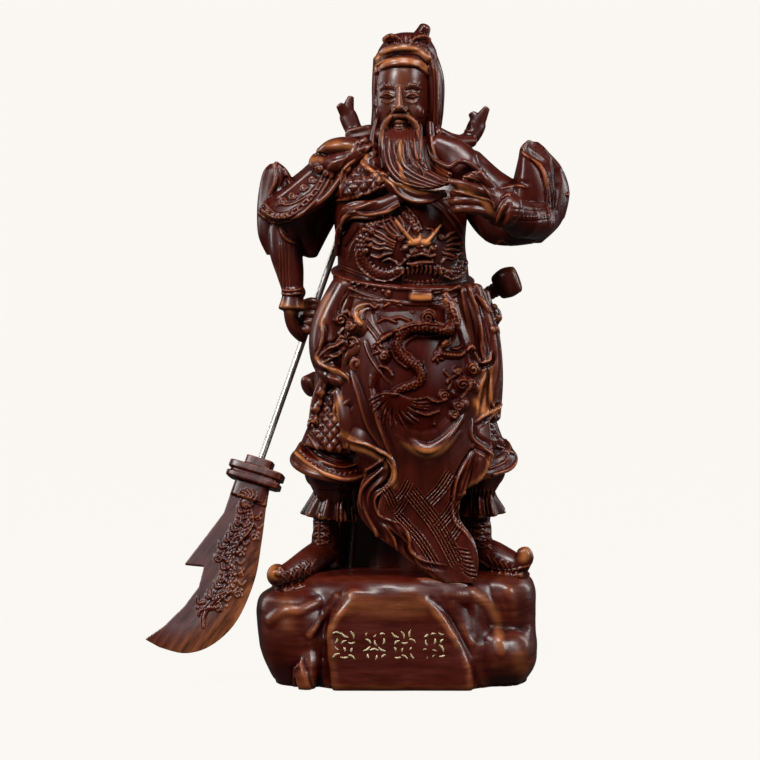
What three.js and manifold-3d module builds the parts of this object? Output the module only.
// A cast statue: a bearded general in robe and armour stands on a rock plinth and holds a lowered glaive.
// The figure and its plinth are one casting. The glaive is a steel rod with a cast blade, which slides
// through the right fist. Millimetres, +Z up, front towards -Y, origin at the middle of the underside.
import * as THREE from "three";
import { mergeVertices } from "three/addons/utils/BufferGeometryUtils.js";
import Module from "manifold-3d";

const wasm = await Module();
wasm.setup();

// Driving dimensions
const PLINTH_WIDTH = 138;
const PLINTH_DEPTH = 98;
const PLINTH_HEIGHT = 54;
const TABLET_WIDTH = 72; // the flat front of the rock, which carries the marks
const TABLET_HEIGHT = 47;
const FIGURE_HEIGHT = 273; // from the top of the plinth to the top of the cap's knot
const ROD_DIAMETER = 3.4;
const ROD_LENGTH = 167.5;
const ROD_CLEARANCE = 0.35; // all round the rod, in the fist and in the blade's socket
const BLADE_LENGTH = 96; // along the rod's line, from the guard to the point
const BLADE_THICKNESS = 3.4;
const GUARD_WIDTH = 28;
const GUARD_DEPTH = 12;
const GUARD_HEIGHT = 9;
const SOCKET_DEPTH = 5.6; // how far the rod's foot reaches into the guard
const BLADE_YAW = 0.26; // the blade's turn about the rod, its edge towards the viewer, in radians

// The figure is drawn in units of 1/277 of its own height, with zero at the top of the plinth.
const UNIT = FIGURE_HEIGHT / 277;
const FACES = 9000; // the most faces of the casting
const SINK = 3; // how far the feet and hems reach into the rock, in figure units

const BROWN = new THREE.MeshStandardMaterial({ color: 0x5a2516, roughness: 0.34, metalness: 0 });
const BLADE_BROWN = new THREE.MeshStandardMaterial({ color: 0x6b3020, roughness: 0.36, metalness: 0 });
const STEEL = new THREE.MeshStandardMaterial({ color: 0xc9c9c6, roughness: 0.22, metalness: 1 });

const clamp = (v, low, high) => Math.min(Math.max(v, low), high);

// The value at share t along a smooth curve through rows of numbers.
function along(rows, t, closed = false) {
  const n = rows.length;
  const last = closed ? n : n - 1;
  const place = closed ? (t - Math.floor(t)) * last : clamp(t, 0, 1) * last;
  const i = Math.min(Math.floor(place), last - 1);
  const f = place - i;
  const row = (k) => rows[closed ? ((k % n) + n) % n : clamp(k, 0, n - 1)];
  const [a, b, c, d] = [row(i - 1), row(i), row(i + 1), row(i + 2)];
  return b.map((_, k) => {
    const [p, q, r, s] = [a[k], b[k], c[k], d[k]];
    return q + 0.5 * f * (r - p + f * (2 * p - 5 * q + 4 * r - s + f * (3 * (q - r) + s - p)));
  });
}

const vec = (p) => new THREE.Vector3(p[0], p[1], p[2]);

// A closed skin over rings of points, with a point at each end.
function skin(rings, start, end) {
  const m = rings[0].length;
  const spots = [start, ...rings.flat(), end];
  const faces = [];
  const at = (i, k) => 1 + i * m + (k % m);
  for (let k = 0; k < m; k++) {
    faces.push(0, at(0, k + 1), at(0, k));
    for (let i = 0; i < rings.length - 1; i++) {
      faces.push(at(i, k), at(i, k + 1), at(i + 1, k + 1));
      faces.push(at(i, k), at(i + 1, k + 1), at(i + 1, k));
    }
    faces.push(spots.length - 1, at(rings.length - 1, k), at(rings.length - 1, k + 1));
  }
  return new THREE.BufferGeometry()
    .setAttribute("position", new THREE.Float32BufferAttribute(spots.flatMap((p) => p.toArray()), 3))
    .setIndex(faces);
}

// A limb, lock or fold: an oval section [half width, half depth] swept along a path of points.
// Pleats are ridges that run along it.
function limb(path, sizes, options = {}) {
  const {
    sides = 8,
    steps = 6,
    up = [0, -1, 0],
    pleats = 0,
    pleat = 0,
    phase = 0,
    level = false,
  } = options;
  const { dome = 0.6, power = 2 } = options;
  const rows = sizes.map((s) => (Array.isArray(s) ? s : [s, s]));
  const rings = [];
  const ends = [];
  for (let i = 0; i <= steps; i++) {
    const t = i / steps;
    const centre = vec(along(path, t));
    const ahead = vec(along(path, Math.min(t + 0.02, 1))).sub(vec(along(path, Math.max(t - 0.02, 0))));
    const forward = level ? new THREE.Vector3(0, 0, Math.sign(ahead.z) || 1) : ahead.normalize();
    const side = new THREE.Vector3().crossVectors(forward, vec(up)).normalize();
    const front = new THREE.Vector3().crossVectors(side, forward).normalize();
    const [a, b] = along(rows, t);
    const ring = (scale, push) =>
      Array.from({ length: sides }, (_, k) => {
        const turn = (2 * Math.PI * (k + 0.5)) / sides;
        const swell = scale * (1 + pleat * Math.cos(pleats * turn + phase));
        const shape = (v) => Math.sign(v) * Math.abs(v) ** (2 / power);
        return centre
          .clone()
          .addScaledVector(side, a * swell * shape(Math.cos(turn)))
          .addScaledVector(front, b * swell * shape(Math.sin(turn)))
          .addScaledVector(forward, push);
      });
    const bulge = dome * Math.min(a, b);
    if (i === 0) {
      ends.push(centre.clone().addScaledVector(forward, -bulge));
      if (dome > 0) rings.push(ring(0.7, -0.7 * bulge));
    }
    rings.push(ring(1, 0));
    if (i === steps) {
      ends.push(centre.clone().addScaledVector(forward, bulge));
      if (dome > 0) rings.push(ring(0.7, 0.7 * bulge));
    }
  }
  return skin(rings, ends[0], ends[1]);
}

// A form given by closed loops of points, smooth both ways.
function loft(loops, { around = 14, steps = 6 } = {}) {
  const rings = [];
  for (let i = 0; i <= steps; i++) {
    const loop = loops[0].map((_, k) => along(loops.map((l) => l[k]), i / steps));
    rings.push(Array.from({ length: around }, (_, k) => vec(along(loop, k / around, true))));
  }
  const middle = (ring) => ring.reduce((s, p) => s.add(p), new THREE.Vector3()).divideScalar(around);
  return skin(rings, middle(rings[0]), middle(rings[steps]));
}

// A hanging cloth with a thickness, smooth through rows of points. Folds are ridges down its length.
function cloth(rows, thickness, { across = 8, down = 8, folds = 0, depth = 0 } = {}) {
  const surface = (u, v) => vec(along(rows.map((r) => along(r, u)), v));
  const step = 0.01;
  const rings = [];
  for (let j = 0; j <= down; j++) {
    const v = j / down;
    const front = [];
    const back = [];
    for (let i = 0; i <= across; i++) {
      const u = i / across;
      const du = surface(Math.min(u + step, 1), v).sub(surface(Math.max(u - step, 0), v));
      const dv = surface(u, Math.min(v + step, 1)).sub(surface(u, Math.max(v - step, 0)));
      const normal = new THREE.Vector3().crossVectors(du, dv).normalize();
      const fold = depth * Math.cos(2 * Math.PI * folds * u);
      const rim = thickness * (i === 0 || i === across ? 0.35 : 0.5);
      front.push(surface(u, v).addScaledVector(normal, fold + rim));
      back.push(surface(u, v).addScaledVector(normal, fold - rim));
    }
    rings.push([...front, ...back.reverse()]);
  }
  const middle = (ring) => ring.reduce((s, p) => s.add(p), new THREE.Vector3()).divideScalar(ring.length);
  return skin(rings, middle(rings[0]), middle(rings[down]));
}

function ball(centre, radii, turn = 0, sides = 8) {
  return new THREE.SphereGeometry(1, sides, Math.max(4, sides - 2))
    .scale(...radii)
    .rotateY(turn)
    .translate(...centre);
}

// A scroll: a cord wound flat in the front view, from radius r down to its middle.
function scroll([x, y, z], r, thick, turns = 1.4, hand = 1, start = 0) {
  const points = [];
  for (let i = 0; i <= 8; i++) {
    const t = i / 8;
    const angle = start + hand * turns * 2 * Math.PI * t;
    const reach = r * (1 - 0.8 * t);
    points.push([x + reach * Math.cos(angle), y - 0.15 * thick * i, z + reach * Math.sin(angle)]);
  }
  return limb(points, [thick, thick * 0.8], { sides: 5, steps: Math.round(10 * turns) });
}

// One solid from corners and the faces between them, which close.
const body = (spots, faces) =>
  new wasm.Manifold(
    new wasm.Mesh({
      numProp: 3,
      vertProperties: new Float32Array(spots),
      triVerts: new Uint32Array(faces.flat()),
    }),
  );

// One solid from a geometry, whichever way its faces were wound.
function solid(geometry) {
  const bare = geometry.clone();
  bare.deleteAttribute("normal");
  bare.deleteAttribute("uv");
  const merged = mergeVertices(bare, 1e-4);
  const index = Array.from(merged.index.array);
  const faces = [];
  for (let i = 0; i < index.length; i += 3) {
    const [a, b, c] = index.slice(i, i + 3);
    if (a !== b && b !== c && c !== a) faces.push([a, b, c]);
  }
  const spots = merged.attributes.position.array;
  const made = body(spots, faces);
  return made.volume() > 0 ? made : body(spots, faces.map(([a, b, c]) => [a, c, b]));
}

function geometryOf(made) {
  const mesh = made.getMesh();
  return new THREE.BufferGeometry()
    .setAttribute("position", new THREE.BufferAttribute(mesh.vertProperties, 3))
    .setIndex(new THREE.BufferAttribute(mesh.triVerts, 1));
}

const joined = (list) => list.map(solid).reduce((sum, next) => sum.add(next));

// The squared distance of a point from the planes summed in a corner's ten numbers.
function strain(q, { x, y, z }) {
  return (
    q[0] * x * x + 2 * x * (q[1] * y + q[2] * z + q[3]) +
    q[4] * y * y + 2 * y * (q[5] * z + q[6]) +
    q[7] * z * z + 2 * q[8] * z + q[9]
  );
}

// Thins a joined skin: the ends of an edge are drawn together where that moves the surface least,
// until at most the given number of faces is left.
function thinned(made, most) {
  const { vertProperties, triVerts } = made.getMesh();
  const spots = [];
  for (let i = 0; i < vertProperties.length; i += 3) {
    spots.push(new THREE.Vector3().fromArray(vertProperties, i));
  }
  const fans = spots.map(() => new Set());
  const planes = spots.map(() => new Float64Array(10));
  const faces = new Set();
  const normal = (a, b, c) => new THREE.Vector3().subVectors(b, a).cross(
    new THREE.Vector3().subVectors(c, a),
  );
  for (let i = 0; i < triVerts.length; i += 3) {
    const face = [triVerts[i], triVerts[i + 1], triVerts[i + 2]];
    faces.add(face);
    const n = normal(...face.map((k) => spots[k]));
    const area = n.length() || 1e-12;
    const { x, y, z } = n.divideScalar(area);
    const d = -n.dot(spots[face[0]]);
    const own = [x * x, x * y, x * z, x * d, y * y, y * z, y * d, z * z, z * d, d * d];
    for (const k of face) {
      fans[k].add(face);
      own.forEach((value, j) => (planes[k][j] += area * value));
    }
  }
  const beside = (k) => new Set([...fans[k]].flat().filter((other) => other !== k));
  // true where no face round corner k, but for those that vanish with corner gone, turns over or closes up
  const holds = (k, gone, spot) =>
    [...fans[k]].every((face) => {
      if (face.includes(gone)) return true;
      const before = normal(...face.map((j) => spots[j]));
      const after = normal(...face.map((j) => (j === k ? spot : spots[j])));
      return after.length() > 1e-3 && before.dot(after) > 0.3 * before.length() * after.length();
    });
  for (let limit = 1e-3; faces.size > most && limit < 1e5; limit *= 1.5) {
    for (const face of [...faces]) {
      if (faces.size <= most) break;
      if (!faces.has(face)) continue;
      for (let side = 0; side < 3; side++) {
        const [a, b] = [face[side], face[(side + 1) % 3]];
        const sum = planes[a].map((value, j) => value + planes[b][j]);
        const [p, q] = [spots[a], spots[b]];
        const middle = new THREE.Vector3().addVectors(p, q).multiplyScalar(0.5);
        const spot = [middle, p, q].reduce(
          (best, s) => (strain(sum, s) < strain(sum, best) ? s : best),
        ).clone();
        if (strain(sum, spot) + 2e-4 * p.distanceToSquared(q) > limit) continue;
        const near = beside(b);
        const shared = [...beside(a)].filter((k) => near.has(k));
        if (shared.length !== 2 || !holds(a, b, spot) || !holds(b, a, spot)) continue;
        for (const f of [...fans[b]]) {
          if (f.includes(a)) {
            faces.delete(f);
            f.forEach((k) => fans[k].delete(f));
          } else {
            f[f.indexOf(b)] = a;
            fans[a].add(f);
          }
        }
        fans[b].clear();
        planes[a] = sum;
        spots[a] = spot;
        break;
      }
    }
  }
  const left = [...faces];
  const used = [...new Set(left.flat())];
  const places = new Map(used.map((k, i) => [k, i]));
  return body(used.flatMap((k) => spots[k].toArray()), left.map((face) => face.map((k) => places.get(k))));
}

// A boulder that stands on the ground: rings of corners, wide at the waist and drawn in at foot and top.
function rock([x, y], [width, depth, height], options = {}) {
  const { sides = 8, turn = 0, lean = [0, 0], rough = 0.05 } = options;
  const { levels = [[0, 0.8], [0.12, 0.9], [0.4, 1], [0.74, 0.95], [0.92, 0.78], [1, 0.45]] } = options;
  const rings = levels.map(([share, scale]) =>
    Array.from({ length: sides }, (_, k) => {
      const angle = turn + (2 * Math.PI * k) / sides;
      const reach = scale * (1 + rough * Math.sin(7.3 * k + 2.1 * turn + 1.7 * share));
      return new THREE.Vector3(
        x + lean[0] * share + (width / 2) * reach * Math.cos(angle),
        y + lean[1] * share + (depth / 2) * reach * Math.sin(angle),
        height * share,
      );
    }),
  );
  const top = rings.at(-1)[0].z;
  return skin(rings, new THREE.Vector3(x, y, 0), new THREE.Vector3(x + lean[0], y + lean[1], top));
}

// The rock plinth: a broad mass with boulders round it and the leaning tablet in front.
function plinth() {
  const w = PLINTH_WIDTH / 2;
  const d = PLINTH_DEPTH / 2;
  const h = PLINTH_HEIGHT;
  const broad = [[0, 0.84], [0.1, 0.92], [0.35, 0.99], [0.72, 1], [0.9, 0.95], [0.98, 0.84], [1, 0.7]];
  const under = [[0, 0.6], [0.1, 0.76], [0.34, 0.96], [0.66, 1], [0.9, 0.9], [1, 0.54]];
  const shelf = [[0, 0.7], [0.2, 0.86], [0.5, 0.96], [0.84, 1], [0.96, 0.86], [1, 0.6]];
  const mass = rock(
    [-0.01 * w, 0.03 * d],
    [1.86 * w, 1.8 * d, h],
    { sides: 14, rough: 0.02, levels: broad },
  );
  return [
    mass,
    // left: the big boulder under the boot, the flank beside the tablet, the pointed stone at its foot
    rock(
      [-0.72 * w, -0.36 * d],
      [0.6 * w, 0.98 * d, 0.88 * h],
      { sides: 9, turn: 0.3, lean: [-1.6, 4], levels: under },
    ),
    rock([-0.47 * w, -0.56 * d], [0.36 * w, 0.66 * d, 0.88 * h], { sides: 6, turn: 0.2, lean: [6, 8] }),
    rock([-0.66 * w, -0.8 * d], [0.17 * w, 0.26 * d, 0.36 * h], { sides: 5, turn: 0.9, lean: [1, 4] }),
    // right: the slanted block, then one boulder above another
    rock([0.49 * w, -0.5 * d], [0.44 * w, 0.84 * d, 0.9 * h], { sides: 7, turn: 0.5, lean: [-5, 8] }),
    rock(
      [0.74 * w, -0.2 * d],
      [0.5 * w, 0.9 * d, 0.99 * h],
      { sides: 8, turn: 0.1, lean: [-1.4, 3], levels: shelf },
    ),
    rock(
      [0.7 * w, -0.34 * d],
      [0.58 * w, d, 0.52 * h],
      { sides: 9, turn: 0.4, lean: [0, 3], levels: under },
    ),
    // behind
    rock([0.6 * w, 0.42 * d], [0.66 * w, 0.96 * d, 0.86 * h], { turn: 0.7, lean: [-4, -4] }),
    rock([-0.64 * w, 0.44 * d], [0.64 * w, 0.9 * d, 0.8 * h], { sides: 7, turn: 0.2, lean: [4, -4] }),
    rock([0, 0.66 * d], [0.8 * w, 0.62 * d, 0.72 * h], { sides: 7, turn: 0.5, lean: [2, -6] }),
    tablet(),
  ];
}

// The tablet's outline, as shares of its width and height, from the lower left round to the lower right.
const TABLET = [
  [-0.468, -0.14], [-0.507, 0.51], [-0.472, 0.69], [-0.382, 0.91], [-0.333, 0.97], [-0.11, 0.91],
  [0.117, 0.97], [0.222, 0.85], [0.338, 0.61], [0.425, 0.37], [0.489, 0.19], [0.494, -0.14],
];

function tablet() {
  const bevel = 2.4;
  const depth = 0.4 * PLINTH_DEPTH;
  const lean = 0.13; // how far its face leans back, in radians
  const shape = new THREE.Shape(
    TABLET.map(([x, z]) => new THREE.Vector2(x * (TABLET_WIDTH - 2 * bevel), z * (TABLET_HEIGHT - bevel))),
  );
  const block = new THREE.ExtrudeGeometry(shape, {
    depth,
    bevelEnabled: true,
    bevelSize: bevel,
    bevelThickness: bevel,
    bevelSegments: 1,
    steps: 1,
  });
  return block
    .rotateX(Math.PI / 2)
    .rotateX(-lean)
    .translate(0, bevel + depth - 0.5 * PLINTH_DEPTH + 1.8, -0.5);
}

// A boot: shaft, instep and sole.
function boot(shaft, foot, sole) {
  return [
    limb(shaft, [[6.9, 8], [6.5, 7.6], [7.4, 8]], { steps: 4 }),
    limb(foot, [[7.4, 8], [7.2, 7], [6.6, 5.8], [5.4, 4.8], [4.4, 4.4]], { steps: 7 }),
    limb(sole, [[7.6, 2.6], [7, 2.4], [7.6, 2.4], [4.6, 2.2]], { steps: 5, up: [0, 0, 1], dome: 0.3 }),
  ];
}

function legs() {
  const knee = [[14, 14], [14.2, 15], [11.4, 12], [7.6, 8.6]];
  const frill = [[7.6, 8.6], [10.4, 11.5], [14, 13]];
  const slim = (rows) => rows.map(([a, b]) => [a - 2, b - 2]);
  const kneeForm = { sides: 10, steps: 5 };
  const frillForm = { sides: 18, steps: 3, pleats: 6, pleat: 0.1, dome: 0.1 };
  return [
    ...boot(
      [[-36, -1, 40], [-37.5, -2, 24], [-38, -1, 8]],
      [[-38, 1, 9], [-43, -8, 7], [-49, -17, 4], [-55, -23, 1.4], [-60, -27.4, 0]],
      [[-33, 11, -1], [-41, -5, -2], [-51, -19, -5.4], [-60, -27.6, -8]],
    ),
    // the gilded knob and the curl of the left toe
    ball([-61.4, -28.4, 0.2], [5.4, 5.2, 5.8]),
    scroll([-61.6, -32.4, 1], 3.4, 1.3, 1.2, -1, 1.2),
    ...boot(
      [[39.6, 4, 38], [39.8, 4, 24], [40.6, 3, 8]],
      [[41, 4, 9], [47, -5, 8], [53.4, -11, 5.6], [59, -15.4, 4.2], [62.4, -17.4, 5]],
      [[43, 14, 0], [48, -2, -0.4], [55, -12, -1], [63, -17.6, -1]],
    ),
    limb([[60.6, -17, 5], [62.8, -18, 7.6], [62, -18.4, 11.2]], [4.2, 4.4, 3.6], { steps: 3 }),
    limb([[-32, -6, 62], [-34, -7, 50], [-34, -6, 44], [-34, -4, 36]], knee, kneeForm),
    limb([[41, -2, 62], [41.6, -3, 50], [41.4, -3, 45], [41, -1, 38]], slim(knee), kneeForm),
    limb([[-34, -4, 42], [-35, -3, 35], [-36, -3, 27]], frill, frillForm),
    limb([[41, 0, 44], [41.4, 0, 36], [41.8, 1, 29]], slim(frill), frillForm),
  ];
}

// The scale skirt over a thigh, with its flared brim, which rises to the outer side and dips in front.
function thighGuard(path, grow, outer) {
  const sizes = [[11, 11], [13.4, 13], [14.8, 15], [17.4, 16.6]].map(([a, b]) => [a + grow, b + grow]);
  const [cx, cy, cz] = path.at(-1);
  const rim = (reach, drop) =>
    Array.from({ length: 12 }, (_, k) => {
      const [x, y] = [Math.cos((2 * Math.PI * k) / 12), Math.sin((2 * Math.PI * k) / 12)];
      return [
        cx + outer + (20.6 + grow) * reach * x,
        cy + (19.5 + grow) * reach * y,
        cz - 7 + 3 * Math.sign(outer) * x + 5.5 * y - drop,
      ];
    });
  return [
    limb(path, sizes, { sides: 12, steps: 5, dome: 0.1 }),
    loft(
      [rim(0.8, -6), rim(0.9, -2.4), rim(1, 0), rim(0.98, 2.6), rim(0.75, 3.2)],
      { around: 18, steps: 4 },
    ),
  ];
}

// The robe: a pleated bell from the belt to the knees, and a tail behind that reaches the rock.
function robe() {
  const bell = [
    [5, 0, 146], [4.5, 0, 135], [3.5, 0, 120], [3, 1, 100], [3, 2, 76], [3, 4, 56], [3, 5, 46],
  ];
  const bellSizes = [[31, 26], [36, 30], [42, 33], [45.5, 35], [45.5, 35], [42, 32], [36, 28]];
  const tail = [[3, 14, 70], [3, 20, 48], [3, 23, 26], [3, 24, 8], [3, 24, -SINK]];
  return [
    limb(bell, bellSizes, { sides: 36, steps: 8, level: true, pleats: 18, pleat: 0.02, dome: 0 }),
    limb(tail, [[38, 18], [37, 14], [36, 11.5], [38, 12], [39, 12.5]], {
      sides: 30,
      steps: 6,
      level: true,
      pleats: 15,
      pleat: 0.045,
      dome: 0,
    }),
    // a core between the legs, behind the apron
    limb([[20, -12, 56], [20, -14, 28], [24, -14, -SINK]], [[13, 18], [9, 15], [12, 16]], {
      steps: 3,
      level: true,
      dome: 0,
    }),
  ];
}

// The apron in front, from the belt to the rock, with the turned hems at both sides.
function apron() {
  const face = [
    [[-22, -20, 141], [-8, -26, 139], [10, -27, 136], [27, -22, 138]],
    [[-27, -27, 120], [-10, -36, 121], [12, -37, 120], [34, -26, 120]],
    [[-29, -28, 98], [-9, -41, 98], [14, -42, 98], [41, -25, 98]],
    [[-26, -30, 80], [-8, -41, 80], [14, -42, 80], [40, -26, 80]],
    [[-13, -35, 66], [-2, -40, 66], [16, -40, 66], [37, -30, 66]],
    [[-3, -38, 54], [6, -38, 54], [18, -38, 53], [33, -33, 53]],
    [[-8, -38, 41], [4, -36, 41], [16, -36, 41], [29, -34, 40]],
    [[-9, -37, 30], [2, -34, 30], [15, -34, 30], [28, -33, 29]],
    [[4, -36, 18], [11, -34, 18], [22, -33, 18], [35, -33, 18]],
    [[10, -36, 7], [17, -34, 7], [27, -33, 7], [37.5, -33, 7]],
    [[22, -35, -SINK], [26, -34, -SINK], [31, -33, -SINK], [36, -33, -SINK]],
  ];
  const leftTurn = [
    [[-28, -26, 76], [-18, -34, 76], [-4, -36, 74]],
    [[-29, -28, 68], [-18, -36, 66], [-2, -35, 64]],
    [[-16, -32, 56], [-8, -34, 56], [2, -33, 56]],
    [[-19, -31, 44], [-12, -33, 44], [0, -32, 44]],
    [[-20, -30, 33], [-12, -32, 33], [0, -31, 33]],
    [[-13, -32, 23], [-5, -33, 23], [8, -32, 23]],
    [[-1, -33, 14], [6, -33, 14], [16, -32, 14]],
    [[10, -33, 5], [16, -33, 5], [24, -32, 5]],
  ];
  const rightTurn = [
    [[30, -29, 80], [38, -27, 80], [44, -22, 80]],
    [[30, -31, 70], [38, -30, 69], [45, -26, 68]],
    [[29, -31, 60], [37, -31, 60], [45.5, -28, 60]],
    [[27, -31, 51], [33, -31, 51], [41, -29, 51]],
    [[25, -31, 42], [28, -31, 43], [31, -31, 43.5]],
  ];
  const hem = (points, size) => limb(points, [size], { sides: 5, steps: 3 * points.length });
  return [
    cloth(face, 4.4, { across: 8, down: 18 }),
    cloth(leftTurn, 3.2, { across: 4, down: 12 }),
    cloth(rightTurn, 3, { across: 4, down: 7 }),
    hem(face.slice(4).map((r) => r[0]), 1.5),
    hem(face.slice(3).map((r) => r[3]), 1.5),
    hem(leftTurn.slice(1).map((r) => r[0]), 1.3),
    // the bowed lower edge of the pictured field
    limb(
      [[-1, -40, 76], [6, -42.5, 68], [14, -43.5, 64.5], [23, -41, 70], [31, -34, 80]],
      [1.2, 2, 2.6, 2, 1.2],
      { sides: 6, steps: 10 },
    ),
  ];
}

// Cloths that hang at the hips, the knot and its loops.
function sideDrapes() {
  return [
    limb(
      [[-26, -14, 143], [-34.4, -16, 125], [-36, -18, 110], [-33, -22, 98]],
      [[9, 8], [9.8, 9], [9.2, 9], [6, 5]],
      { sides: 14, steps: 7 },
    ),
    limb(
      [[-36, -21, 106], [-31, -26, 99], [-24, -29, 98], [-19, -31, 90], [-16, -33, 80]],
      [3, 5, 5, 4, 2.4],
      { steps: 8 },
    ),
    limb(
      [[-38, -24, 104], [-33, -28, 97.5], [-25, -30, 97], [-18, -33, 88]],
      [1.3],
      { sides: 5, steps: 9 },
    ),
    limb([[-31, -27, 92], [-26, -31, 78], [-27, -31, 64]], [[3, 2.4], [5, 3], [1.6, 1.4]], { steps: 5 }),
    limb([[35, -17, 142], [40, -19, 122], [42, -20, 106], [39, -23, 92], [37, -24, 78]], [
      [6, 7], [8, 8], [8, 8], [9, 6], [7, 4],
    ], { sides: 16, steps: 8, pleats: 6, pleat: 0.12 }),
    limb([[40, -6, 140], [44, -6, 118], [45.6, -6, 98], [45.4, -8, 78]], [[5, 8], [6, 10], [6, 10], [5, 8]], {
      sides: 12,
      steps: 6,
      pleats: 5,
      pleat: 0.1,
    }),
    limb([[44, -8, 134], [48, -8, 129.6], [46, -8, 124]], [2.6, 3.4, 2.6], { steps: 3 }),
    limb([[45, -9, 126], [48, -9, 121], [46, -9, 117]], [2, 2.6, 2], { steps: 3 }),
    limb([[36, -25, 132], [39, -28, 112], [42, -29, 106.5], [46, -26, 112], [43, -23, 134]], [1.3], {
      sides: 5,
      steps: 12,
    }),
    limb(
      [[39.5, -25, 130], [41.5, -28, 113], [43.5, -27, 114], [42, -24, 130]],
      [1.1],
      { sides: 5, steps: 8 },
    ),
    // the lit fold under the loops
    limb(
      [[44, -22, 102], [41, -25, 90], [38, -27, 78], [37, -28, 70]],
      [[2.4, 2], [4, 3], [4.4, 3], [2, 2]],
      { steps: 5 },
    ),
    limb([[37, -28, 70.5], [44, -24, 78], [50.5, -15, 85]], [1.4], { sides: 5, steps: 4 }),
    // the knot of the sash on the right hip, with its scrolls
    limb(
      [[-25, -29, 119], [-23.5, -33, 123], [-20, -34.5, 124], [-18, -33, 119]],
      [3, 3.6, 3.4, 2],
      { steps: 5 },
    ),
    limb(
      [[-24, -31, 121], [-22, -34, 114], [-25, -33, 110], [-27, -31, 106]],
      [2.6, 3, 2.6, 1.6],
      { steps: 5 },
    ),
    scroll([-28.5, -31, 115.5], 3.6, 1.3),
    scroll([-22, -35, 106], 3.4, 1.2, 1.2, -1),
  ];
}

// A broad belt that slants down to the front, with raised edges, a buckle and studs.
function belt() {
  const middle = 1.4;
  const half = 35.4;
  const drop = 6.2;
  const spot = (turn, rise, grow) => [
    middle + (half + grow) * Math.cos(turn),
    (31.4 + grow) * Math.sin(turn),
    145.6 - 2.6 * Math.cos(turn) + drop * Math.sin(turn) + rise,
  ];
  const line = (rise, grow) =>
    Array.from({ length: 16 }, (_, k) => spot((2 * Math.PI * k) / 16, rise, grow));
  const band = (low, high, grow) =>
    loft(
      [
        line(low, grow - 8), line(low, grow - 0.4), line((low + high) / 2, grow), line(high, grow - 0.4),
        line(high, grow - 8),
      ],
      { around: 24, steps: 4 },
    );
  const onBelt = (x, lift) => spot(-Math.acos((x - middle) / half), 0, lift);
  return [
    band(-3.9, 3.9, 0),
    band(-4.6, -3.2, 1),
    band(3.1, 4.5, 0.9),
    limb([onBelt(5.6, 0.6), onBelt(10, 0.9), onBelt(14.6, 0.6)], [[2.6, 1.8]], { steps: 3 }),
    ball(onBelt(-6.4, 0.4), [1.5, 1.6, 1.9], 0, 6),
    ball(onBelt(-24, 0.6), [1.7, 1.8, 1.5], 0, 6),
  ];
}

// The trunk's line and its half widths and depths.
const TRUNK = [
  [1.6, 0, 144], [1.4, -2, 154], [0.4, -3, 166], [0, -2, 182], [-0.5, 0, 196], [1, 1, 208], [2, 2, 219],
];
const TRUNK_SIZES = [[34, 27], [33, 29.5], [32.6, 31], [34.5, 28], [38, 25], [36, 20], [16, 13]];

// A point on the front of the trunk, lifted off it by the given amount.
function onTrunk(x, z, lift = 0) {
  let [low, high] = [0, 1];
  for (let i = 0; i < 24; i++) {
    const t = (low + high) / 2;
    if (along(TRUNK, t)[2] < z) low = t;
    else high = t;
  }
  const [cx, cy] = along(TRUNK, low);
  const [a, b] = along(TRUNK_SIZES, low);
  const share = clamp((x - cx) / a, -0.97, 0.97);
  return [x, cy - b * Math.sqrt(1 - share * share) - lift, z];
}

function torso() {
  return [
    limb(TRUNK, TRUNK_SIZES, { sides: 24, steps: 9, level: true, dome: 0.1 }),
    // the two crossed edges of the robe over the armour
    limb(
      [[-32, -8, 188], [-26, -19, 191.5], [-14, -27, 194], [-3, -29, 199]],
      [[3, 2.4], [5, 3], [5, 3], [2.6, 2]],
      { steps: 6 },
    ),
    limb(
      [[-30, -17, 174], [-25, -23, 181], [-13, -29, 182.5], [0, -32, 188]],
      [[2, 2], [4.6, 3], [4.6, 3], [3, 2.4]],
      { steps: 6 },
    ),
    limb([[-32, -12, 160], [-31, -19, 172], [-25, -26, 178.5], [-13, -32, 179], [-1, -34, 185]], [1.3], {
      sides: 5,
      steps: 10,
    }),
    limb([[-34, -9, 186], [-25, -22, 189], [-12, -29, 192], [-3, -31, 197]], [1.2], { sides: 5, steps: 8 }),
    // the armour's round border on the chest, and its studs
    limb(
      [[-27, -20, 190], [-28, -18, 200], [-23, -18, 210], [-15, -19, 214]],
      [[1.6, 1.4]],
      { sides: 6, steps: 8 },
    ),
    limb(
      [[-31, -15, 190], [-32, -13, 201], [-26, -13, 212], [-17, -15, 217]],
      [[2.2, 2]],
      { sides: 6, steps: 8 },
    ),
    ...[0, 1, 2, 3].flatMap((row) =>
      [0, 1, 2].map(
        (k) => ball(onTrunk(-23 + 5 * k + (row % 2) * 2, 196 + row * 4.6, 0.4), [2.6, 2, 2.6], 0, 5),
      ),
    ),
    // the shawl collar under the beard
    limb([[-13, -14, 214], [-15, -20, 203], [-6, -28, 196], [8, -34, 188], [22, -34, 190]], [
      [3, 3], [3.4, 3], [4, 3], [4, 3], [2, 2],
    ], { steps: 9 }),
    limb(
      [[18, -12, 215], [27, -14, 209], [33, -18, 203], [38, -20, 200]],
      [[6, 6], [9, 7], [9, 6], [5, 4]],
      { steps: 5 },
    ),
    limb([[17, -22, 207], [24, -27, 203.5], [29, -28, 206], [34, -26, 205], [40, -22, 200]], [1.5], {
      sides: 5,
      steps: 8,
    }),
  ];
}

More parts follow.
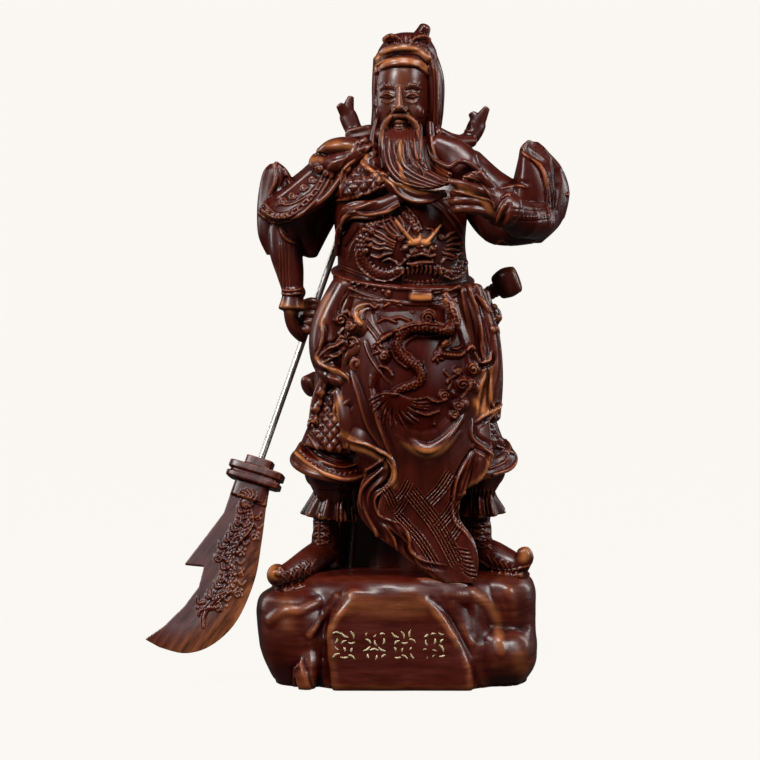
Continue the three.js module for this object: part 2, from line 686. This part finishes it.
// The dragon's face on the belly, with its scaled coils and its mane.
function bellyDragon() {
  const middle = 10;
  const relief = (points, sizes, options) => limb(
    points.map(([x, z, lift = 0.6]) => onTrunk(x, z, lift)),
    sizes,
    options,
  );
  const knob = ([x, z], radii) => ball(onTrunk(x, z, 0.4), radii, 0, 6);
  const coil = (side) => {
    const points = [];
    for (let k = 0; k <= 8; k++) {
      const turn = Math.PI * (0.3 + (1.32 * k) / 8);
      points.push([middle - side * (1 - 14 * (1 - 0.9 * Math.cos(turn))) * 1, 167 + 17 * Math.sin(turn)]);
    }
    return relief(
      points,
      [[1.8, 1.8], [3.4, 2.2], [3.6, 2.4], [3.4, 2.2], [1.8, 1.8]],
      { sides: 6, steps: 14 },
    );
  };
  const mane = (side, k) => {
    const angle = -0.5 + 0.3 * k;
    const reach = (r) => [middle + side * (8 + r * Math.cos(angle)), 167 + r * Math.sin(angle)];
    return relief(
      [reach(2), reach(8), reach(14)],
      [[1.6, 1.4], [1.8, 1.6], [0.8, 1]],
      { sides: 5, steps: 4 },
    );
  };
  return [
    coil(-1),
    coil(1),
    ...[-1, 1].flatMap((side) => [0, 1, 2, 3, 4].map((k) => mane(side, k))),
    // brow, horns, eyes, muzzle and lips
    relief(
      [[2, 173], [8, 170.5, 2.4], [15, 170.5, 2.4], [21, 173]],
      [[2, 2], [3.6, 2.8], [3.6, 2.8], [2, 2]],
      { steps: 5 },
    ),
    ...[-1, 1].flatMap((side) => [
      relief(
        [[11.5 + 5 * side, 172], [11.5 + 9 * side, 179], [11.5 + 15 * side, 187]],
        [2, 1.8, 1],
        { sides: 5, steps: 4 },
      ),
      knob([11.5 + 9 * side, 167], [2.8, 2.2, 2.2]),
    ]),
    ball(onTrunk(11.5, 163.5, 1), [6.6, 3.4, 4], 0, 8),
    relief(
      [[1, 161], [7, 158, 1.4], [16, 158, 1.4], [22, 161]],
      [1.8, 2.2, 2.2, 1.8],
      { sides: 5, steps: 6 },
    ),
    relief(
      [[-3, 186], [3, 183], [7, 178], [9, 174]],
      [[2, 2], [3.2, 2], [2.8, 2], [1.8, 1.8]],
      { sides: 6, steps: 6 },
    ),
  ];
}

// The dragon that winds down the apron, its pearl, its tail and the clouds.
function apronDragon() {
  const body = [
    [22, -34, 140], [27, -34, 131], [25, -37, 123], [14, -41, 124.5], [3, -40, 123], [-1, -41, 115],
    [3, -42, 108.5], [9, -43.5, 104], [9, -43.5, 97], [1, -42.5, 93],
  ];
  const hair = [0, 1, 2, 3, 4].map((k) => {
    const spread = -12 + 5.5 * k;
    return limb(
      [[0, -42, 93], [spread * 0.6, -42.5, 88], [spread, -41, 80 + 0.04 * spread ** 2]],
      [2, 1.9, 0.7],
      { sides: 5, steps: 4 },
    );
  });
  const cloud = (x, y, z, r) => ball([x, y, z], [r, 2.4, r * 0.8], 0, 7);
  return [
    limb(body, [2, 2.8, 3, 3, 3, 3, 3, 2.8, 2.6, 2], { sides: 7, steps: 26 }),
    ...hair,
    limb([[0, -39, 122], [-7, -39, 120], [-12, -37, 116]], [2, 1.8, 1.2], { sides: 5, steps: 4 }),
    limb([[-18, -33, 121], [-13, -36, 112], [-8, -38, 104], [0, -41, 97]], [1], { sides: 5, steps: 7 }),
    limb([[25, -36, 126], [26, -36, 119], [21, -39, 115]], [2, 1.8, 1.4], { sides: 5, steps: 4 }),
    scroll([14, -41, 129.5], 3.4, 1.3, 1.2),
    cloud(34, -30, 104, 5),
    cloud(28, -35, 98, 4.4),
    cloud(35, -30, 94, 4.6),
    cloud(25, -37, 91, 3.6),
    cloud(30, -34, 86, 4.2),
    cloud(-9, -38.5, 108, 3.4),
  ];
}

// An arm from shoulder to wrist, in the robe's wide upper sleeve and the bound forearm.
function arms() {
  return [
    // the right arm, its forearm and the cuff
    limb(
      [[-32, 2, 203], [-44, 3, 190], [-53.6, 5, 180], [-58, 6, 172]],
      [[11, 12], [11.5, 12.5], [12, 12.5], [10, 11]],
      { sides: 10, steps: 5 },
    ),
    limb(
      [[-57.4, 5, 176], [-58, 3, 163], [-55.8, 1, 151], [-54.2, -1, 141]],
      [[9.6, 9.5], [8.6, 9], [7, 7], [5.2, 5]],
      { sides: 10, steps: 6 },
    ),
    limb(
      [[-54, -1, 143.5], [-54.4, -1, 139], [-54.8, -2, 132.6]],
      [[5.2, 5.2], [5.4, 5.4], [7, 6.4]],
      { sides: 10, steps: 3, dome: 0.2 },
    ),
    // the sleeve that hangs on its inner side
    limb(
      [[-46, 2, 190], [-50, 4, 177], [-48, 5, 168], [-45.6, 6, 160]],
      [[8, 8], [9, 8], [7, 6], [2.4, 2.4]],
      { sides: 10, steps: 5 },
    ),
    limb(
      [[-38, 4, 194], [-41, 5, 182], [-44, 6, 172.6], [-46.6, 6, 161]],
      [[9, 9], [9.4, 8], [8, 6], [5, 4]],
      { sides: 10, steps: 5 },
    ),
    // the left arm, bent towards the beard
    limb(
      [[33, 2, 204], [45, 5, 193.6], [59, 5, 184], [70, 2, 179]],
      [[11, 12], [11, 13], [12, 13], [9, 11]],
      { sides: 10, steps: 5 },
    ),
    limb(
      [[71, 2, 178.5], [66.6, -12, 177], [59, -24, 178], [51, -33, 182]],
      [[10, 9], [10.6, 9], [9.5, 9], [8, 7]],
      { sides: 10, steps: 6, up: [0, 0, 1] },
    ),
    limb([[54, -30, 180.5], [51.5, -33, 182], [49.5, -35, 183.5]], [[8, 7.6], [10.5, 9.6], [9.4, 8.4]], {
      sides: 10,
      steps: 3,
      up: [0, 0, 1],
    }),
    limb(
      [[37, -1, 194], [41.4, -4, 182], [47, -7, 172.4], [56, -6, 169.4], [67, 0, 169.6]],
      [[8, 8], [8.6, 8], [6.6, 7], [5, 6], [4, 4]],
      { steps: 7 },
    ),
  ];
}

// The wide sleeves that flare up behind the elbows: each a leaf bent round its own hollow.
function sleeves() {
  const leaf = (levels) =>
    levels.map(([z, inner, bend, outer, front, back]) => [
      [inner, front, z], [(inner + bend) / 2, front - 3, z + 1], [bend, front - 1, z + 1],
      [(bend + outer) / 2, front + 2.5, z], [outer, (front + back) / 2, z], [(bend + outer) / 2, back, z],
      [bend, back - 4, z], [inner, back - 3, z],
    ]);
  const left = leaf([
    [166, 58, 66, 72, -1, 12], [176, 56, 74, 82, -5, 18], [190, 57.5, 75, 86.4, -5, 20],
    [201, 59.6, 72, 84, -3, 20], [209, 60.8, 66, 78.5, -1, 18], [214.6, 61.6, 64.4, 74, 1, 15],
    [217.6, 64, 66, 70.4, 3, 12],
  ]);
  const right = leaf([
    [160, -60, -64, -68, 2, 14], [170, -56, -65, -72.4, 1, 18], [184, -56, -66, -73, 1, 19],
    [196, -55, -64, -71.6, 2, 18], [203, -57.6, -63, -69.6, 3, 16], [206.6, -61, -63.6, -66.4, 6, 13],
  ]);
  const rim = (points, size) => limb(points, [size], { sides: 5, steps: 2 * points.length - 2 });
  return [
    loft(left, { around: 18, steps: 9 }),
    loft(right, { around: 16, steps: 8 }),
    rim(
      [
        [62, -1, 214.6], [65, -2.4, 210], [70, -3.6, 204.6], [74.3, -5.4, 197.5], [75.6, -6, 186],
        [76, -5, 174],
      ],
      1.2,
    ),
    rim([[77, 6, 212.4], [83, 6, 203], [86.4, 6, 192], [85.6, 5, 181]], 1.3),
    rim([[-63.6, 1, 205.6], [-63, -1, 198], [-66, -1.6, 190], [-68.4, -1.6, 178]], 1.2),
  ];
}

// The armour on the right shoulder: a rolled cap, then the long curved plate down to the elbow.
function shoulderGuard() {
  const plate = [
    [[-37, 6, 214], [-46, 6, 205], [-56, 7, 197], [-66, 9, 190]],
    [[-37, -6, 208], [-46, -8, 199], [-57, -7, 190], [-68, -2, 186]],
    [[-34, -13, 198], [-43, -15, 189], [-55, -14, 182], [-67, -8, 180.5]],
    [[-32, -13, 191], [-41, -14.5, 183], [-54, -13, 177.5], [-66, -6, 178]],
  ];
  return [
    cloth(plate, 3.2, { across: 8, down: 5 }),
    limb(
      [
        [-30, -17, 198], [-36, -17.5, 190], [-44, -17, 184], [-54, -16, 179.5], [-63, -12, 179],
        [-69, -5, 182],
      ],
      [1.5],
      { sides: 6, steps: 12 },
    ),
    limb(
      [[-20, -12, 213.4], [-27, -11, 214.4], [-34, -8, 213.4], [-39.6, -6, 211]],
      [[4, 6], [4.8, 8], [4.8, 8], [3.4, 6]],
      { sides: 10, steps: 6 },
    ),
    limb(
      [[-17, -14, 213], [-24, -15, 208], [-33, -14, 205.6], [-41, -8, 207]],
      [[3.4, 4], [4.6, 5], [4.6, 5], [3.2, 4]],
      { steps: 6 },
    ),
    limb(
      [[-42.4, -6, 209.4], [-43.4, -9, 206], [-40, -12, 203.6], [-34, -14.6, 200]],
      [2.2, 2.8, 3, 2],
      { steps: 5 },
    ),
    limb(
      [[-21, -17, 216], [-23.6, -17, 209], [-28, -16, 203], [-31, -15, 198]],
      [2, 2.4, 2.4, 1.8],
      { steps: 4 },
    ),
  ];
}

// The fist that the rod passes through: four fingers bent round it, the palm and the thumb.
function fist() {
  const finger = 2.2; // half a finger's thickness
  const bore = (ROD_DIAMETER / 2 + ROD_CLEARANCE) / UNIT;
  const reach = bore + 0.85 * finger;
  const palm = reach + 1.2;
  const onRod = (down, x = 0, y = 0) => [
    GRIP[0] + ROD_WAY.x * down + x, GRIP[1] + ROD_WAY.y * down + y, GRIP[2] + ROD_WAY.z * down,
  ];
  const fingers = [0, 1, 2, 3].map((k) => {
    const bend = [];
    for (let i = 0; i <= 5; i++) {
      const turn = Math.PI * (0.95 + 0.3 * i);
      bend.push(onRod(1.9 * finger * (k - 1.5), reach * Math.cos(turn), reach * Math.sin(turn)));
    }
    return limb(bend, [finger, 1.1 * finger, finger, 0.9 * finger], { sides: 6, steps: 6, up: [0, 0, 1] });
  });
  return [
    ...fingers,
    limb(
      [[-54.4, -1, 137], [-55.4, -0.5, 130], [-53.6, 1, 123], [-49.6, 4, 117.4]],
      [[4.2, 4.6], [3.6, 5.8], [3.4, 5.8], [2.4, 4]],
      { steps: 6 },
    ),
    limb(
      [onRod(-7, 1 - palm, 1), onRod(0, 1 - palm, 2), onRod(8, 2 - palm, 1)],
      [[3, 5], [3, 5], [2.4, 4]],
      { steps: 4 },
    ),
    limb([onRod(-6, -1, reach), onRod(6, -1, reach)], [[3.6, 2.2]], { steps: 2 }),
    limb([onRod(-8, -palm, -2), onRod(-9.4, -2, -reach), onRod(-8, 2.8, -reach)], [2.8, 2.5, 1.9], {
      sides: 6,
      steps: 4,
    }),
  ];
}

// The left hand at the chest, which gathers the end of the beard between finger and thumb.
function strokingHand() {
  const finger = (z, reach) =>
    limb(
      [[42, -39, z - 1], [34, -42.5, z], [27 - reach, -42, z], [25 - reach, -38, z - 0.3]],
      [2.6, 2.4, 2.2, 1.8],
      { sides: 6, steps: 6 },
    );
  return [
    limb([[52, -33, 182], [45, -37, 185], [37, -39.5, 188]], [[7, 5], [8.4, 4.6], [6.4, 4]], { steps: 4 }),
    finger(190, -0.5),
    finger(186, 0),
    finger(182, -0.8),
    limb(
      [[46, -39, 188], [38, -43, 191.5], [30, -44, 194], [24.5, -43, 195.6]],
      [2.4, 2.4, 2.2, 1.6],
      { sides: 6, steps: 6 },
    ),
    limb(
      [[46, -37, 190], [42, -39.5, 196], [37, -41.5, 198.5], [31, -42, 197]],
      [2.4, 2.6, 2.4, 1.5],
      { sides: 6, steps: 6 },
    ),
  ];
}

// The head: an oval skull with calm, regular features.
function head() {
  const eye = (side) => [
    ball([-0.5 + 6.2 * side, -16.2, 238.6], [2.9, 2.4, 1.6], 0, 7),
    limb(
      [[1.4 * side - 0.5, -18.8, 242.5], [6 * side - 0.5, -17.6, 244.2], [11 * side - 0.3, -13, 243.2]],
      [[1, 1.6], [1.3, 2], [0.9, 1.6]],
      { sides: 5, steps: 5 },
    ),
    ball([-0.5 + 7.4 * side, -14.2, 232], [4.4, 3.6, 4], 0, 7),
  ];
  return [
    limb([[1, -3, 214], [0.5, -4, 221], [0.5, -4.5, 230], [1, -3.5, 240], [1.6, -2, 251], [2, 0, 259]], [
      [9, 10], [10.5, 13], [13.2, 15], [14, 15.6], [14, 16], [12, 14],
    ], { sides: 16, steps: 8, level: true }),
    limb(
      [[-0.5, -19, 243], [-0.6, -21.4, 237], [-0.6, -23.4, 232.6]],
      [[1.4, 1.6], [1.6, 2], [2.4, 2.2]],
      { sides: 7, steps: 4 },
    ),
    ball([-3, -20.2, 232], [1.7, 2.2, 1.5], 0, 6),
    ball([1.8, -20.2, 232], [1.7, 2.2, 1.5], 0, 6),
    ...eye(-1),
    ...eye(1),
    limb(
      [[-5, -17.6, 225.6], [-0.6, -20, 226.2], [3.8, -17.6, 225.6]],
      [[1, 1.2], [1.2, 1.5], [1, 1.2]],
      { sides: 6, steps: 4 },
    ),
    limb(
      [[-4, -17.6, 223.4], [-0.6, -19.8, 222.8], [2.8, -17.6, 223.4]],
      [[0.9, 1.2], [1.4, 1.5], [0.9, 1.2]],
      { sides: 6, steps: 4 },
    ),
  ];
}

// The soft cap: two rolled bands on the brow, the crown, the knot, and the flaps behind the ears.
function cap() {
  const roll = (z, lift, reach, size) => {
    const points = [];
    for (let k = 0; k <= 8; k++) {
      const turn = Math.PI * (1.04 + (0.92 * k) / 8);
      points.push(
        [1.8 + reach * Math.cos(turn), 0 + (reach + 1.5) * Math.sin(turn), z - lift * Math.sin(turn)],
      );
    }
    const ends = [0.5 * size, 0.4 * size];
    const full = [size, 0.75 * size];
    return limb(points, [ends, full, full, ends], { sides: 6, steps: 12 });
  };
  return [
    limb(
      [[3, 0, 250], [3.3, 0.5, 257], [3.6, 1, 263], [3.9, 1, 267.6]],
      [[15.4, 16.6], [15.8, 16.8], [14.8, 15.6], [12.2, 13]],
      { sides: 16, steps: 6, level: true, dome: 0.4 },
    ),
    roll(253.2, 2.8, 14.4, 2.7),
    roll(259.4, 4.2, 13.6, 1.9),
    limb([[8, 2, 267], [11, 2, 271.6], [12.6, 1.6, 275]], [[4.6, 5], [3.8, 4], [3.1, 3.4]], { steps: 4 }),
    scroll([-5, -11.4, 266.4], 3.4, 1.2, 1.1, -1, Math.PI),
    scroll([11.4, -10.8, 266.4], 3.4, 1.2, 1.1),
    // flaps
    limb(
      [[12, 1, 262], [17.2, 0, 249], [17.6, 1, 234], [15.6, 2, 222]],
      [[6, 12], [5, 13], [4.6, 12], [5, 10]],
      { sides: 10, steps: 6 },
    ),
    limb(
      [[-8.6, 2, 258], [-11.4, 2, 246], [-11.6, 3, 234], [-11.4, 3, 222]],
      [[5, 11], [2.8, 12], [2.6, 11], [3.6, 9]],
      { sides: 10, steps: 6 },
    ),
    limb(
      [[3, 12, 262], [3, 16, 246], [3, 17, 230], [3, 17, 212], [3, 19, 192]],
      [[10, 5], [15, 6], [16, 6], [19, 6], [16, 4]],
      { sides: 18, steps: 8, pleats: 7, pleat: 0.08 },
    ),
  ];
}

// The scarf whose two forked ends stand up behind the shoulders.
function scarf() {
  const end = (side, root, mid, tipA, tipB) => [
    limb(
      [[root[0] - 9 * side, 6, root[2] - 2], root, mid],
      [[3, 3.4], [4.6, 3.6], [4.8, 2.6]],
      { steps: 4 },
    ),
    limb([root, mid, tipA], [[3.4, 2.6], [3.6, 2.6], [1.9, 1.6]], { steps: 5 }),
    limb([root, mid, tipB], [[3.4, 2.6], [3.4, 2.4], [2.3, 1.6]], { steps: 5 }),
  ];
  return [
    ...end(-1, [-22, 9, 222], [-26.6, 10, 231], [-25, 11, 240.6], [-31, 9, 236.4]),
    ...end(1, [35, 9, 219], [39.5, 10, 226.6], [44.4, 10, 235], [36.6, 11, 232.4]),
    limb([[-24, 6, 221], [-14, -6, 221], [-9, -12, 219]], [[3.4, 5], [4.6, 5], [3, 4]], { steps: 5 }),
    limb([[36, 7, 217.5], [26, 0, 217], [18, -8, 222]], [[3, 5], [4.6, 5], [3, 4]], { steps: 5 }),
  ];
}

// The beard and moustache: locks that fall from the face and are drawn aside to the left hand.
function beard() {
  const lock = (points, sizes, steps = 9) => limb(points, sizes, { sides: 6, steps });
  const strands = [0, 1, 2, 3, 4, 5, 6].map((k) => {
    const s = k / 6;
    return lock([
      [-9 + 19 * s, -15 - 4 * Math.sin(Math.PI * s), 224 - 4 * Math.sin(Math.PI * s)],
      [-8 + 18 * s, -23 - 2 * Math.sin(Math.PI * s), 214],
      [-6 + 18 * s, -29, 204 - s],
      [1 + 15 * s, -34, 196 + 3 * s],
      [13 + 9 * s, -39, 193 + 3 * s],
      [24, -42, 195.4 + 0.6 * s],
    ], [[2, 2], [2.3, 3], [2.6, 3], [2.4, 2.8], [2, 2.2], [1.2, 1.4]]);
  });
  return [
    ...strands,
    // the long side lock that swings out and under
    lock([
      [-11.5, -10, 228], [-13.6, -13, 218], [-13, -18, 208], [-8, -24, 204], [-1, -29, 201],
      [6, -34, 196.4], [15, -38, 194.4], [23, -41, 195],
    ], [[1.2, 1.6], [1.8, 2], [2, 2], [2, 2], [1.6, 2], [1.4, 1.6]], 14),
    lock(
      [[15, -10, 226], [15.4, -14, 216], [16.6, -18, 207], [19.5, -24, 201.5], [24, -34, 199]],
      [1.6, 2.2, 2.4, 2, 1.4],
    ),
    // moustache
    lock(
      [[-1, -21.4, 229], [-6, -20, 227.6], [-9, -19, 221], [-9.6, -22, 211], [-9, -26, 203]],
      [1.2, 1.7, 1.6, 1.5, 0.8],
    ),
    lock(
      [[-0.2, -21.4, 229], [5, -20, 227.6], [8.6, -19, 221], [9.6, -22, 211], [12, -27, 202]],
      [1.2, 1.7, 1.6, 1.5, 0.8],
    ),
    limb(
      [[-0.5, -15, 221], [0, -20, 213], [2, -26, 204], [8, -31, 198]],
      [[8, 5], [9, 5], [9, 4], [5, 3]],
      { steps: 5 },
    ),
  ];
}

// The sword behind the hips: hilt and pommel at the left, the scabbard's end at the right.
function sword() {
  return [
    limb([[32, 22, 132.6], [44, 15, 139.4], [51, 11, 143.4]], [3.4, 3.5, 3.8], { steps: 3, dome: 0.1 }),
    limb(
      [[50.6, 12, 143.6], [55, 10, 146], [59.8, 9, 147.8]],
      [[6.6, 5], [7.8, 6], [6.8, 5]],
      { steps: 4, dome: 0.25 },
    ),
    limb(
      [[34, 22, 133], [6, 34, 119], [-26, 28, 103], [-45, 14, 93.6]],
      [[4.6, 3.6], [5, 3.8], [5, 3.8], [5, 4]],
      { steps: 7, dome: 0.3 },
    ),
    limb([[-42, 16, 95], [-47.2, 12, 92.6]], [[5.8, 5]], { steps: 2, dome: 0.4 }),
  ];
}

// The skirts of armour over the thighs, and the strap that hangs on the right one.
function armourSkirts() {
  return [
    ...thighGuard([[-26, -6, 112], [-29, -9, 92], [-30.4, -10, 76], [-33, -10, 62]], 0, -2),
    ...thighGuard([[34.6, 0, 112], [37, -1, 92], [37, -2, 76], [39, -2, 62]], -3, 3),
    limb(
      [[-38, -20, 98], [-42, -19, 88], [-44, -19, 78]],
      [[2.4, 2], [2.4, 2.2], [2, 2]],
      { sides: 6, steps: 4 },
    ),
    scroll([-44, -21, 76], 2.6, 1.1, 1.1),
  ];
}

// The rod's line: it leans out to the figure's right, down and forward, through the fist.
const GRIP = [-45.6, 6, 127.5];
const ROD_WAY = new THREE.Vector3(-33.8, -27, -97.5).normalize();

const gripPoint = vec(GRIP).multiplyScalar(UNIT).add(new THREE.Vector3(0, 0, PLINTH_HEIGHT));
const ROD_ABOVE_GRIP = 86; // from the fist's middle to the rod's upper end
const rodTop = gripPoint.clone().addScaledVector(ROD_WAY, -ROD_ABOVE_GRIP);
const rodFoot = rodTop.clone().addScaledVector(ROD_WAY, ROD_LENGTH);

// Puts a geometry drawn down its own -Z axis on the rod's line, with its flat side to the front.
function onRodLine(geometry, start) {
  const up = ROD_WAY.clone().negate();
  const level = new THREE.Vector3().crossVectors(new THREE.Vector3(0, 1, 0), up).normalize();
  const side = level.clone().applyAxisAngle(up, -BLADE_YAW);
  const back = new THREE.Vector3().crossVectors(up, side);
  return geometry.applyMatrix4(new THREE.Matrix4().makeBasis(side, back, up)).translate(...start.toArray());
}

// A round bar from the rod's upper end down its line, with its ends eased off.
function rod(diameter, length, ease = 0) {
  const r = diameter / 2;
  const profile = [
    [0, -length],
    [r - ease, -length],
    [r, ease - length],
    [r, -ease],
    [r - ease, 0],
    [0, 0],
  ];
  const points = (
    ease ? profile : profile.filter((_, i) => i !== 2 && i !== 4)
  ).map((p) => new THREE.Vector2(...p));
  return onRodLine(new THREE.LatheGeometry(points, 16).rotateX(Math.PI / 2), rodTop);
}

// The blade's outline as shares of its length: across the rod's line, and down it from the guard.
const EDGE = [
  [0.104, 0], [0.096, -0.07], [0.148, -0.32], [0.18, -0.525], [0.16, -0.752], [0.076, -0.905],
  [-0.04, -0.982], [-0.18, -0.992],
];
const BACK = [
  [-0.262, -0.976], [-0.19, -0.886], [-0.122, -0.756], [-0.084, -0.64], [-0.094, -0.53], [-0.196, -0.55],
  [-0.142, -0.393], [-0.09, -0.238], [-0.092, -0.1], [-0.09, 0],
];

function bladeShape() {
  const edge = Array.from({ length: 14 }, (_, i) => along(EDGE, i / 13));
  return new THREE.Shape(
    [...edge, ...BACK].map(([x, z]) => new THREE.Vector2(x * BLADE_LENGTH, z * BLADE_LENGTH)),
  );
}

const GUARD_TOP = 0.95 * GUARD_HEIGHT; // above the middle of the guard

// The blade below its layered guard, drawn down from the guard's middle, with a raised dragon on each side.
function blade() {
  const bevel = 0.9;
  const plate = new THREE.ExtrudeGeometry(bladeShape(), {
    depth: BLADE_THICKNESS - 2 * bevel,
    bevelEnabled: true,
    bevelSize: bevel,
    bevelThickness: bevel,
    bevelOffset: -bevel,
    bevelSegments: 1,
  });
  const slab = (w, d, low, high) => new THREE.BoxGeometry(w, d, high - low).translate(
    0,
    0,
    (low + high) / 2,
  );
  const h = GUARD_HEIGHT / 2;
  const dragons = [-1, 1].map((side) => {
    const body = [];
    for (let i = 0; i <= 9; i++) {
      const t = i / 9;
      const across = 0.01 + 0.05 * t - 0.11 * t * t + 0.03 * Math.sin(3 * Math.PI * t);
      const down = 0.16 + 0.66 * t;
      body.push([across * BLADE_LENGTH, (side * BLADE_THICKNESS) / 2, -down * BLADE_LENGTH]);
    }
    return limb(body, [1.2, 2.2, 2, 1.8, 1], { sides: 6, steps: 12 });
  });
  return [
    plate.translate(0, 0, -BLADE_THICKNESS / 2 + bevel).rotateX(Math.PI / 2),
    slab(0.9 * GUARD_WIDTH, 0.86 * GUARD_DEPTH, -h, 0.6 * h),
    slab(GUARD_WIDTH, GUARD_DEPTH, 0.1 * h, 0.9 * h),
    slab(GUARD_WIDTH, 0.94 * GUARD_DEPTH, -0.9 * h, -0.3 * h),
    slab(0.5 * GUARD_WIDTH, 0.7 * GUARD_DEPTH, 0, GUARD_TOP),
    slab(0.18 * BLADE_LENGTH, 1.7 * BLADE_THICKNESS, -0.13 * BLADE_LENGTH, 0),
    ...dragons,
  ];
}

function figure() {
  const parts = [
    ...legs(), ...armourSkirts(), ...robe(), ...apron(), ...sideDrapes(), ...belt(), ...torso(),
    ...bellyDragon(), ...apronDragon(), ...arms(), ...sleeves(), ...shoulderGuard(), ...fist(),
    ...strokingHand(), ...head(), ...cap(), ...scarf(), ...beard(), ...sword(),
  ];
  return joined(parts.map((g) => g.scale(UNIT, UNIT, UNIT).translate(0, 0, PLINTH_HEIGHT)));
}

function statue() {
  const reach = 4 * PLINTH_WIDTH;
  const ground = solid(new THREE.BoxGeometry(reach, reach, reach).translate(0, 0, -reach / 2));
  const bore = solid(rod(ROD_DIAMETER + 2 * ROD_CLEARANCE, ROD_LENGTH));
  return thinned(figure().add(joined(plinth())), FACES).subtract(ground).subtract(bore);
}

function bladeWithSocket() {
  const start = rodFoot.clone().addScaledVector(ROD_WAY, GUARD_TOP - SOCKET_DEPTH);
  const socket = rod(ROD_DIAMETER + 2 * ROD_CLEARANCE, ROD_LENGTH + ROD_CLEARANCE);
  return joined(blade().map((g) => onRodLine(g, start))).subtract(solid(socket));
}

function piece(name, geometry, material) {
  const mesh = new THREE.Mesh(geometry, material);
  mesh.name = name;
  return mesh;
}

const group = new THREE.Group();
group.add(
  piece("figure_on_rock", geometryOf(statue()), BROWN),
  piece("glaive_blade", geometryOf(bladeWithSocket()), BLADE_BROWN),
  piece("glaive_rod", rod(ROD_DIAMETER, ROD_LENGTH, 0.15 * ROD_DIAMETER), STEEL),
);
export default group;
